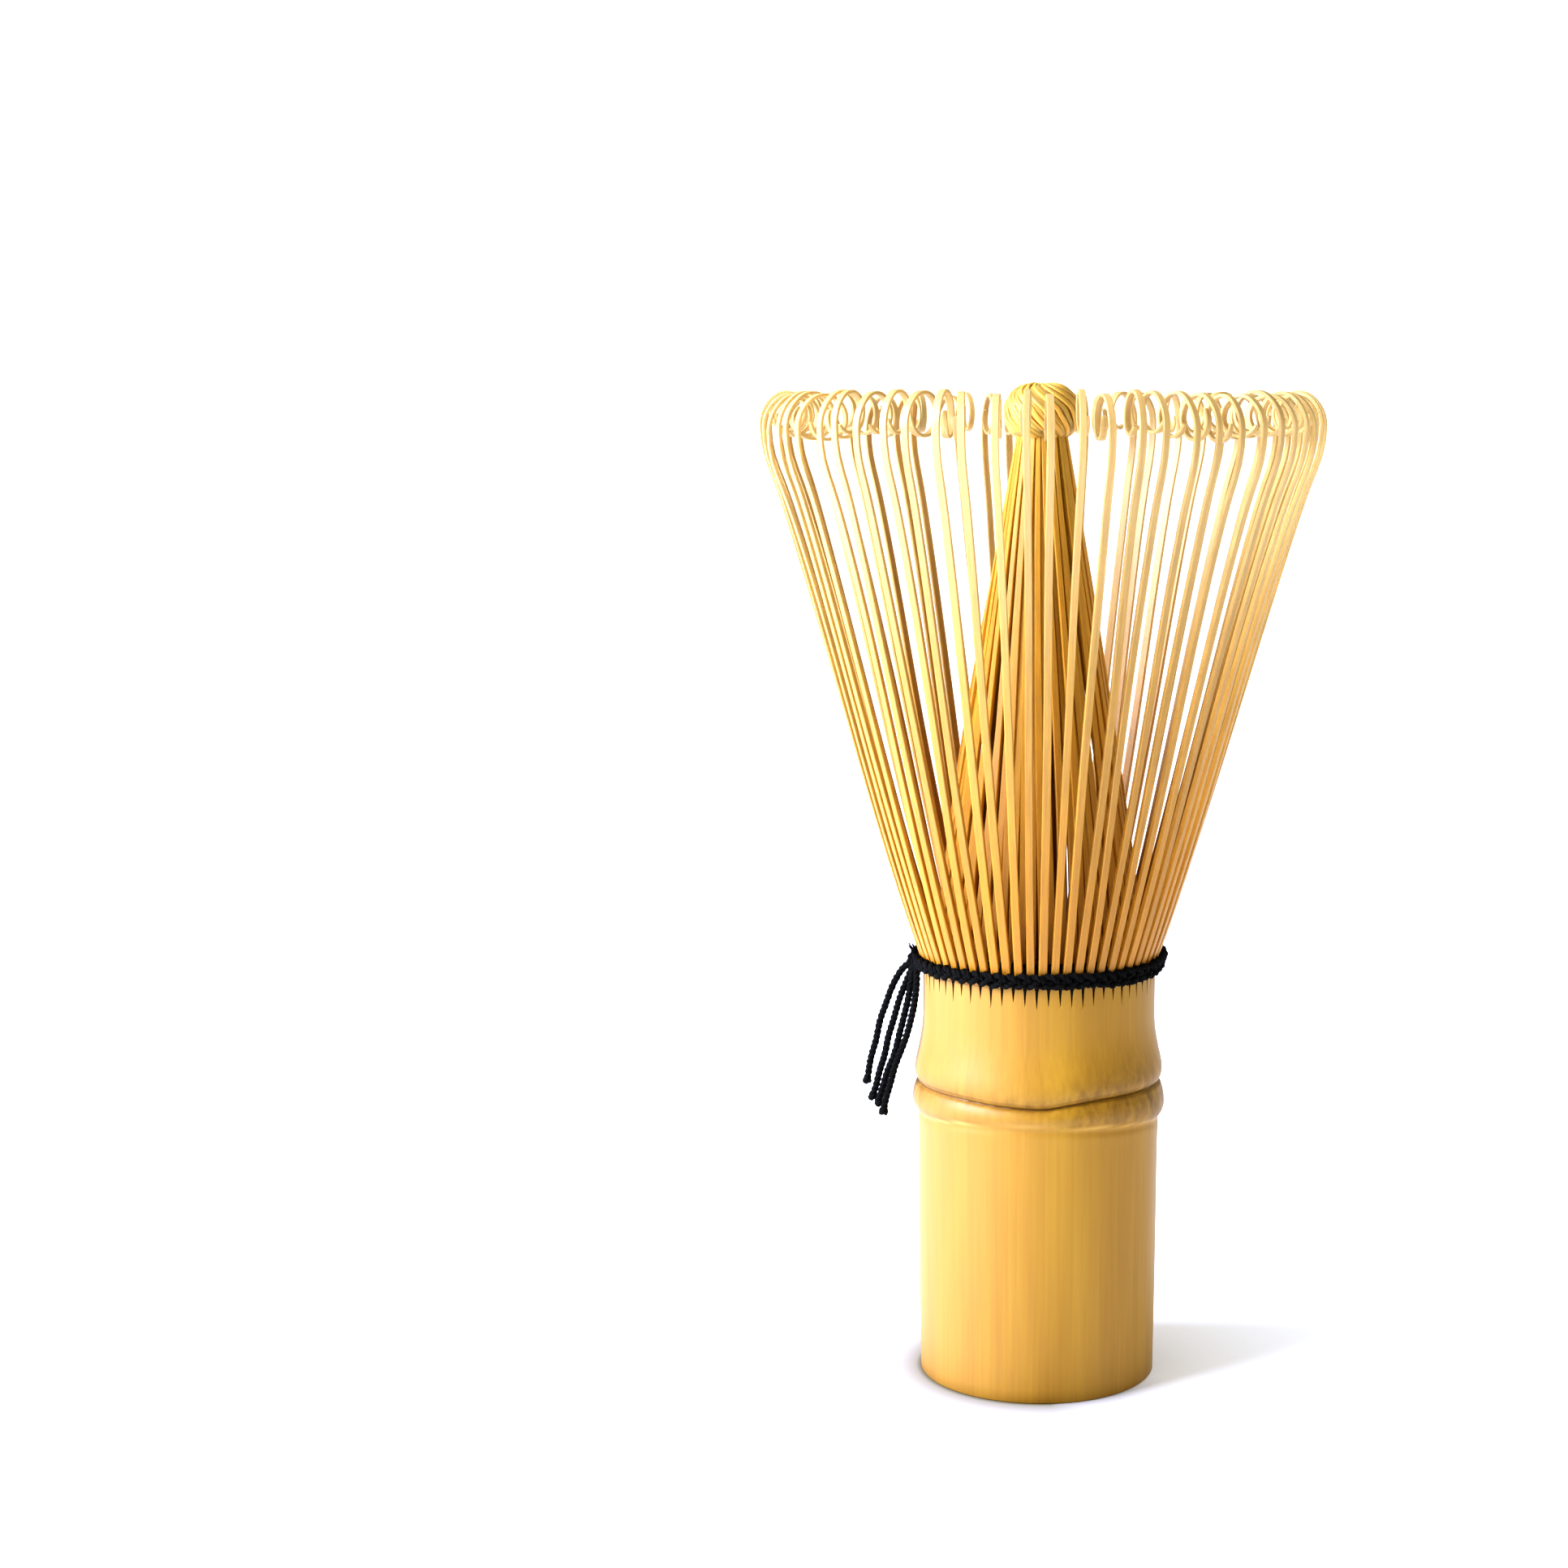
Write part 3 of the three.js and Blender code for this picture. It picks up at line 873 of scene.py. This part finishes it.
def wall_marks(angle, height):
    """What the skin's finish reads at a place: the node's stain, the painted highlight along the ridge's
    foot, and the groove's dark lines."""
    over = height - groove_height(angle)
    ridge = ridge_height(angle)
    front = from_front(angle)
    right = bell(front - 55, 48)
    down = -over / ridge
    on_ridge = smooth(0, 0.08, down) * (1 - smooth(0.92, 1.0, down))
    stain = mix(0.5, 1.0, right) * bell(over - 0.3, mix(1.1, 3.0, right)) * (over > 0)
    stain += on_ridge * (0.2 + 0.6 * smooth(-5, 25, front) * (1 - smooth(100, 150, front)))
    stain += on_ridge * (0.5 * bell(front - 80, 16) + 0.3 * bell(front + 80, 22))
    stain += 0.5 * bell(over, 0.5) * bell(front + 50, 60) * (over <= 0)
    # Painted highlight: a pale line along the ridge's foot, strongest left of the front
    painted_foot_highlight = bell(over + ridge - 0.1, 0.16) * (0.3 + 0.6 * bell(front + 25, 45))
    line = 0.8 * bell(over, mix(0.09, 0.15, bell(front - 4, 34)))
    line += 0.6 * bell(over - SECOND_LINE, 0.11) * second_line(angle)
    return min(1.0, stain), painted_foot_highlight, min(1.0, line)


def culm():
    """The handle: hollow under the node, with its diaphragm, and slit at the neck."""
    work = Work("node_stain", "painted_foot_highlight", "groove_line", "slit", "pith")
    rings = []
    marks = {mark: [] for mark in work.marks}

    def add_ring(ring, *values):
        rings.append(ring)
        for mark, value in zip(marks, values):
            marks[mark].append(value)

    def add_inside(radius, height, dots=1.0):
        ring = [polar(radius, angle, height) for angle, _, _ in wall_columns(range(TINES), 0)]
        add_ring(ring, 0.0, 0.0, 0.0, 0.0, dots)

    def add_outside(height, inset=0.0):
        columns = wall_columns(range(TINES), height)
        ring = [polar(culm_radius(angle, height) - inset - deep, angle, height) for angle, deep, _ in columns]
        skin_marks = zip(*[wall_marks(angle, height) for angle, _, _ in columns])
        add_ring(ring, *[list(values) for values in skin_marks], [dark for _, _, dark in columns], 0.0)

    bore = BASE_RADIUS - WALL
    under = GROOVE_HEIGHT - DIAPHRAGM / 2
    over = GROOVE_HEIGHT + DIAPHRAGM / 2
    add_inside(0.4, under)
    add_inside(bore - 1, under)
    add_inside(bore, under - 1)
    add_inside(bore, EDGE_ROUNDING)
    add_inside(bore + EDGE_ROUNDING, 0)
    add_inside(BASE_RADIUS - EDGE_ROUNDING, 0)
    add_outside(EDGE_ROUNDING * 0.3, EDGE_ROUNDING * 0.4)
    add_outside(EDGE_ROUNDING)
    height = EDGE_ROUNDING
    while height < NECK_HEIGHT - 0.01:
        near_node = bell(height - GROOVE_HEIGHT - 0.3, 2.2)
        near_node = max(near_node, 0.75 * bell(height - GROOVE_HEIGHT + RIDGE_FOOT, 2.2))
        in_slits = smooth(-0.9, -0.2, height - (FOOT_TOP - STAVE_SLIT_LENGTHS[1]))
        height += mix(*RING_SPACINGS, max(near_node, in_slits) ** 0.5)
        add_outside(min(height, NECK_HEIGHT))
    add_inside(NECK_BORE_RADIUS, NECK_HEIGHT, 0.5)
    add_inside(bore, over + 1)
    add_inside(bore - 1, over)
    add_inside(0.4, over)
    work.add_rings(rings, **marks)
    made = work.piece("culm", [CULM_SKIN], "culm_bamboo")
    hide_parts("handle_culm")
    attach(made, "handle")


culm()

# ---------------------------------------------------------------- outer tines


def outer_line(chance):
    """The centre line of an outer tine in its own upright plane, as (radius, height, lean)."""
    line = [(OUTER_ROOT_RADIUS, NECK_HEIGHT + 0.3, 0.0), (OUTER_ROOT_RADIUS, ROOT_BEND - 1.2, 0.0)]
    line.append((OUTER_ROOT_RADIUS + 0.04, ROOT_BEND - 0.4, 0.1))
    top_radius = STEM_TOP_RADIUS + chance.uniform(-0.3, 0.3)
    span = STEM_TOP - ROOT_BEND
    start_slope = (STEM_SLOPES[0] + chance.uniform(-0.02, 0.02)) * span
    end_slope = (STEM_SLOPES[1] + chance.uniform(-0.015, 0.015)) * span
    for i in range(1, STEM_STEPS + 1):
        share = i / STEM_STEPS
        radius = hermite(OUTER_ROOT_RADIUS + 0.1, top_radius, start_slope, end_slope, share)
        lean = math.atan(mix(start_slope, end_slope, share) / span)
        line.append((radius, ROOT_BEND + span * share, lean))
    radius, height, lean = line[-1]
    size = chance.uniform(0.93, 1.05)
    upright = lean + math.radians(-CURL_ARCS[0][0])
    left = upright + math.radians(chance.uniform(*CURL_SWEEPS))
    for i, (turn, bend) in enumerate(CURL_ARCS):
        if i == 1:
            turn = math.degrees(lean)  # the shoulder brings the tine upright
        if i > 1:
            bend *= size * chance.uniform(0.93, 1.07)
        sweep = min(abs(math.radians(turn)), max(0.0, left))
        if i:
            left -= sweep
        steps = max(1, round(math.degrees(sweep) / CURL_STEP), round(sweep * bend / 1.6))
        for _ in range(steps):
            step = math.copysign(sweep / steps, turn)
            reach = abs(step) * bend
            radius += reach * math.sin(lean - step / 2)
            height += reach * math.cos(lean - step / 2)
            lean -= step
            if sweep:
                line.append((radius, height, lean))
    return line


def stave_foot(work, tines):
    """The unsplit foot of a stave: a piece of the culm's wall with its skin on."""
    rings, slit_shade_marks = [], []
    for i in range(FOOT_ROWS + 1):
        height = mix(NECK_HEIGHT, FOOT_TOP, i / FOOT_ROWS)
        columns = wall_columns(tines, height)[1:]
        first, last = columns[0][0], columns[-1][0]
        inside = [mix(last, first, k / 8) for k in range(9)]
        rings.append(
            [polar(culm_radius(angle, height) - deep, angle, height) for angle, deep, _ in columns]
            + [polar(FOOT_INSIDE, angle, height) for angle in inside]
        )
        # The slits and the foot's inner face are painted near-black, as painted shade
        slit_shade_marks.append([dark for _, _, dark in columns] + [1.0] * len(inside))
    work.add_rings(rings, skin=1, slit=slit_shade_marks)


def outer_tine(work, number, chance):
    angle = FIRST_TINE_ANGLE + number * TINE_ANGLE
    out = polar(1, angle, 0)
    aside = polar(1, angle + math.pi / 2, 0)
    line = outer_line(chance)
    widest = max(radius for radius, _, _ in line)
    settle = CURL_RING_RADIUS - 0.12 - widest - chance.uniform(0, 0.25)
    tallest = max(height for _, height, _ in line)
    lift = CROWN_TOP - 1.0 - tallest - chance.uniform(0, 0.55)
    sway = chance.gauss(0, 0.3)
    bow = chance.gauss(0, 0.16)
    yaw = math.tan(math.radians(max(-16, min(16, chance.gauss(0, 8)))))
    drift = chance.choice((-1, 1)) * chance.uniform(0.25, 0.7)
    width_share = chance.uniform(0.92, 1.08)
    points, facings, widths, thicknesses, along = [], [], [], [], []
    walked = 0.0
    peak = False
    for radius, height, lean in line:
        rise = smooth(ROOT_BEND, STEM_TOP, height) if not peak else 1.0
        past = max(0.0, -lean)
        peak = peak or past > 0
        side = sway * rise + bow * math.sin(math.pi * rise)
        side += yaw * (widest - radius) * smooth(0, 0.6, past) + drift * past / FULL_TURN
        point = out * (radius + settle * rise) + aside * side
        point.z = height + lift * rise
        if points:
            walked += (point - points[-1]).length
        points.append(point)
        facings.append(out * math.cos(lean) - UP * math.sin(lean))
        reached = max(height, 106 + past * 2) if peak else height
        widths.append(along_table(OUTER_WIDTHS, reached) * (width_share if rise > 0 else 1))
        thicknesses.append(along_table(OUTER_THICKNESSES, reached))
        along.append(walked)
    taper = [smooth(-0.4, 1.2, walked - place) for place in along]
    widths = [width * mix(0.45, 1, share) for width, share in zip(widths, taper)]
    rings = ribbon_rings(points, facings, widths, thicknesses, 0.25)
    across = across_strip(widths, TINE_ACROSS)
    work.add_rings(rings, along=along, across=across, tone=chance.random())


def outer_tines():
    """Sixteen staves of four outer tines, each springing from its root in the thread."""
    for stave in range(STAVES):
        work = Work("along", "across", "tone", "slit")
        tines = range(stave * TINES_PER_STAVE, (stave + 1) * TINES_PER_STAVE)
        stave_foot(work, tines)
        for number in tines:
            outer_tine(work, number, random.Random(100 + number))
        made = work.piece(f"outer_tines_{stave + 1:02d}", [OUTER_BAMBOO, CULM_SKIN], "tine_bamboo", 30)
        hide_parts(f"outer_stave_{stave + 1:02d}")
        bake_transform(made)


outer_tines()

# ---------------------------------------------------------------- inner tines


def inner_tine(work, number, chance):
    angle = FIRST_TINE_ANGLE + number * TINE_ANGLE
    layer = number % 2
    top = CROWN_BOTTOM + 0.7
    wander = math.radians(chance.gauss(0, 1.2))
    cross = math.radians(chance.gauss(0, 2.8))
    belly = chance.uniform(-0.35, 0.25) - 0.3 * layer
    tip_radius = INNER_TIP_RADII[layer] + chance.uniform(-0.08, 0.08)
    start_slope = (INNER_SLOPES[0] + chance.uniform(-0.03, 0.01)) * (top - HINGE_HEIGHT)
    end_slope = INNER_SLOPES[1] * (top - HINGE_HEIGHT)
    points, facings, widths, thicknesses, along = [], [], [], [], []
    heights = [INNER_ROOT_HEIGHT, HINGE_HEIGHT - 1]
    heights += [mix(HINGE_HEIGHT, top, i / INNER_STEPS) for i in range(INNER_STEPS + 1)]
    for height in heights:
        share = max(0.0, (height - HINGE_HEIGHT) / (top - HINGE_HEIGHT))
        radius = hermite(INNER_ROOT_RADIUS, tip_radius, start_slope, end_slope, share)
        radius += belly * math.sin(math.pi * share) ** 2
        turn = angle + wander * math.sin(math.pi * share) + (cross + INNER_TWIST) * share**2
        points.append(polar(radius, turn, height))
        facings.append(polar(1, turn, 0.12))
        widths.append(along_table(INNER_WIDTHS, height))
        thicknesses.append(along_table(INNER_THICKNESSES, height))
        along.append(height - INNER_ROOT_HEIGHT)
    rings = ribbon_rings(points, facings, widths, thicknesses, 0.25)
    across = across_strip(widths, TINE_ACROSS)
    work.add_rings(rings, along=along, across=across, tone=chance.random())


def inner_tines():
    """The inner tines lean in and crowd together in two layers under the crown."""
    for stave in range(STAVES):
        work = Work("along", "across", "tone")
        for k in range(TINES_PER_STAVE):
            number = stave * TINES_PER_STAVE + k
            inner_tine(work, number, random.Random(300 + number))
        made = work.piece(f"inner_tines_{stave + 1:02d}", [INNER_BAMBOO], "inner_bamboo", 30)
        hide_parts(f"inner_stave_{stave + 1:02d}")
        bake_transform(made)


inner_tines()

# ---------------------------------------------------------------- the crown

CROWN_SAG = 0.35  # its underside hangs a little under its solid
CROWN_MIDDLE = (CROWN_TOP + CROWN_BOTTOM - CROWN_SAG) / 2
CROWN_HALF_HEIGHT = (CROWN_TOP - CROWN_BOTTOM + CROWN_SAG) / 2
CROWN_RING_RADIUS = 1.25  # where its top turns down into the hollow
CROWN_DOME = 0.05
CROWN_STRANDS = 48
CROWN_TWIST = -1.5  # turns over the roll for each turn round it
STRAND_STEPS = 46
HEART_DEPTH = 0.36  # of the solid heart under the strands


def crown_place(around, over, depth):
    """A place on the crown's roll: around it, over it from its outer side, and how deep."""
    out = math.copysign(abs(math.cos(over)) ** 0.75, math.cos(over))
    up = math.copysign(abs(math.sin(over)) ** 0.8, math.sin(over))
    reach = CROWN_RADIUS - CROWN_RING_RADIUS - depth if out > 0 else CROWN_RING_RADIUS - 0.25
    radius = CROWN_RING_RADIUS + reach * out
    height = CROWN_MIDDLE + (CROWN_HALF_HEIGHT - depth) * up
    return polar(radius, around, height - CROWN_DOME * radius**2 * max(0.0, up))


def crown():
    """The inner tips, twisted over each other into a roll with a hollow in its top."""
    chance = random.Random(42)
    work = Work("along", "across", "tone")
    for number in range(CROWN_STRANDS):
        start = FULL_TURN * (number + chance.uniform(-0.22, 0.22)) / CROWN_STRANDS
        lift = 0.12 + (number % 3) * 0.09 + chance.uniform(-0.04, 0.04)
        width = chance.uniform(0.5, 0.68)
        low = math.radians(-125 + chance.uniform(-12, 12))
        high = math.radians(165 + chance.uniform(-25, 25))
        slant = CROWN_TWIST * chance.uniform(0.92, 1.08)
        wave = chance.uniform(0, FULL_TURN)
        points, facings, widths, thicknesses, along = [], [], [], [], []
        for i in range(STRAND_STEPS + 1):
            share = i / STRAND_STEPS
            over = mix(low, high, share)
            around = start + (over - low) / slant
            depth = lift + 0.06 * math.sin(3 * over + wave)
            depth += 0.35 * smooth(0.25, 0, share) * (number % 2)
            points.append(crown_place(around, over, depth))
            facings.append(crown_place(around, over, 0) - crown_place(around, over, 0.5))
            inner = smooth(0.9, 1.8, over)
            ends = smooth(0, 0.08, share) * smooth(1, 0.9, share)
            widths.append(width * mix(1, 0.45, inner) * mix(0.5, 1, ends))
            thicknesses.append(0.26)
            along.append(share * 20)
        across = across_strip(widths, CROWN_ACROSS)
        rings = ribbon_rings(points, facings, widths, thicknesses, 0.5)
        work.add_rings(rings, along=along, across=across, tone=chance.random())
    strands = work.piece("crown_strands", [CROWN_BAMBOO], "crown_bamboo", 60)
    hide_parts("twisted_crown")
    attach(strands, "inner_bundle")

    heart = Work("along", "across", "tone")
    rings = []
    for i in range(36):
        around = FULL_TURN * i / 36
        rings.append([crown_place(around, FULL_TURN * k / 24, HEART_DEPTH) for k in range(24)])
    heart.add_rings(rings, closed=True, along=0.0, across=0.0, tone=0.0)
    core = heart.piece("crown_heart", [CROWN_BAMBOO], "crown_bamboo", 60)
    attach(core, "inner_bundle")


crown()

# ---------------------------------------------------------------- the thread round the roots


def band_rise(angle):
    """The band isn't level: it is higher on the right, and sags left and right of the front."""
    front = from_front(angle)
    tilt = 0.05 * math.cos(angle)
    uneven = 0.06 * math.sin(5 * angle + 1)
    return tilt - 0.15 * bell(front + 60, 30) - 0.25 * bell(front - 40, 28) + uneven


def plaited_strand(phase):
    """One strand of the plait: it goes up and down, and over and under the two others."""
    points = []
    count = PLAIT_WAVES * 24
    for i in range(count):
        angle = FULL_TURN * i / count
        turn = FULL_TURN * PLAIT_WAVES * i / count + phase
        uneven = noise.noise_vector(Vector((math.cos(angle) * 9, math.sin(angle) * 9, phase))) * 0.2
        spread = 0.56 + 0.2 * bell(from_front(angle) - 60, 45)
        height = BAND_MIDDLE + spread * math.cos(turn) + band_rise(angle) + uneven.x
        lean = max(0.0, height - ROOT_BEND) * 0.3
        radius = WAIST_RADIUS + 0.5 + lean + 0.26 * math.sin(2 * turn) + uneven.y
        points.append(polar(radius, angle, height))
    return points


def band():
    """Three strands plaited round the roots, and stitches that pass between the tines."""
    for number, nodes in enumerate((["thread_lower_course"], ["thread_upper_course"], [])):
        work = Work("tone")
        add_thread(work, plaited_strand(FULL_TURN * number / 3), PLAIT_THICKNESS, closed=True)
        thread_piece(work, f"plait_strand_{number + 1}", *nodes)

    work = Work("tone")
    chance = random.Random(7)
    for slit in range(TINES):
        angle = FIRST_TINE_ANGLE + (slit - 0.5) * TINE_ANGLE
        top = HINGE_HEIGHT + 1.2 + chance.uniform(-0.3, 0.5)
        low = FOOT_TOP - 1.1 + chance.uniform(-0.2, 0.5)
        places = [
            polar(radius, angle, mix(low, top, share) + rise) for radius, share, rise in STITCH_PLACES
        ]
        points = curve_through(places, 0.25)
        sizes = [mix(0.1, 0.24, smooth(0, 0.5, i / (len(points) - 1))) for i in range(len(points))]
        work.add_rings(cord_rings(points, sizes, 6), tone=chance.random())
    count = 256
    for height in INNER_TURN_HEIGHTS:
        ring = [polar(INNER_TURN_RADIUS, FULL_TURN * i / count, height) for i in range(count)]
        work.add_rings(cord_rings(ring, 0.42, 6, True), True, tone=0.5)
    thread_piece(work, "thread_between_tines")


def knot():
    """The knot: the ends wrapped over the plait and each other, with a frayed stub."""
    chance = random.Random(9)
    work = Work("tone")
    for k, (tilt, size, out) in enumerate(KNOT_LOOPS):
        points = []
        for i in range(48):
            turn = FULL_TURN * i / 48
            local = Vector((0.55 * math.cos(turn), size * math.sin(turn), 0.35 * math.sin(2 * turn + k)))
            local = Matrix.Rotation(tilt + math.pi / 2, 3, "X") @ local
            points.append(from_knot(local.x + out, local.y, local.z - 0.25))
        add_thread(work, points, STRAND, closed=True)
    for side, up in KNOT_STRANDS:
        first = from_knot(-2.0, side * 0.2, 0.0)
        second = from_knot(-1.5 - abs(side) * 0.1, side * 0.7, up * 0.4 - 0.1)
        third = from_knot(-1.9 - abs(side) * 0.2, side * 1.1, up)
        add_thread(work, curve_through([first, second, third], 0.12), STRAND)
    thread_piece(work, "knot_wraps", "thread_knot")

    stub = Work("tone")
    for _ in range(STUB_FIBRES):
        lean = chance.gauss(0, 0.3)
        spread = chance.gauss(0, 0.3)
        length = chance.uniform(0.9, 1.8)
        points = curve_through(
            [
                from_knot(-2.0, -0.2, 0.0),
                from_knot(-1.6 + lean * 0.5, spread * 0.4, length * 0.45),
                from_knot(-1.2 + lean, spread, length),
            ],
            0.2,
        )
        sizes = [mix(0.16, 0.05, i / (len(points) - 1)) for i in range(len(points))]
        stub.add_rings(cord_rings(points, sizes, 5), tone=chance.random())
    thread_piece(stub, "frayed_stub")


band()
knot()

# ---------------------------------------------------------------- studio

# In metres
FLOOR_HALF = 3.0
KEY_LIGHT_PLACE = Vector((-0.52, -0.2, 0.36))
KEY_LIGHT_AIM = Vector((0, 0, 0.06))
KEY_LIGHT_SIZE = 0.42


def studio():
    """A white floor and surround, and one broad soft light high on the left."""
    scene = bpy.context.scene
    scene.view_settings.view_transform = "Standard"
    scene.view_settings.look = "High Contrast"
    floor = bpy.data.meshes.new("floor")
    corners = [(x * FLOOR_HALF, y * FLOOR_HALF, 0) for x, y in ((-1, -1), (1, -1), (1, 1), (-1, 1))]
    floor.from_pydata(corners, [], [(0, 1, 2, 3)])
    floor.materials.append(painted_floor())
    ground = bpy.data.objects.new("floor", floor)
    ground.location.z = cad_bounds[0][2]
    scene.collection.objects.link(ground)

    world = bpy.data.worlds.new("white_surround")
    world.use_nodes = True
    world.node_tree.nodes.clear()
    tree = world.node_tree
    # The surround is seen as clean white, and the light that it gives is dimmer and warmer
    seen = add(tree, "Background", {"Color": (1, 1, 1, 1), "Strength": 1.0}).outputs[0]
    lighting = add(tree, "Background", {"Color": (1, 0.99, 0.86, 1), "Strength": 0.505}).outputs[0]
    path = add(tree, "LightPath").outputs["Is Camera Ray"]
    shown = add(tree, "MixShader", {0: path, 1: lighting, 2: seen}).outputs[0]
    add(tree, "OutputWorld", {"Surface": shown})
    scene.world = world

    data = bpy.data.lights.new("key_light", "AREA")
    data.size = KEY_LIGHT_SIZE
    data.energy = 8.1
    data.color = (1.0, 1.06, 1.4)
    light = bpy.data.objects.new("key_light", data)
    light.location = KEY_LIGHT_PLACE
    light.rotation_euler = (KEY_LIGHT_AIM - KEY_LIGHT_PLACE).to_track_quat("-Z", "Y").to_euler()
    scene.collection.objects.link(light)


studio()
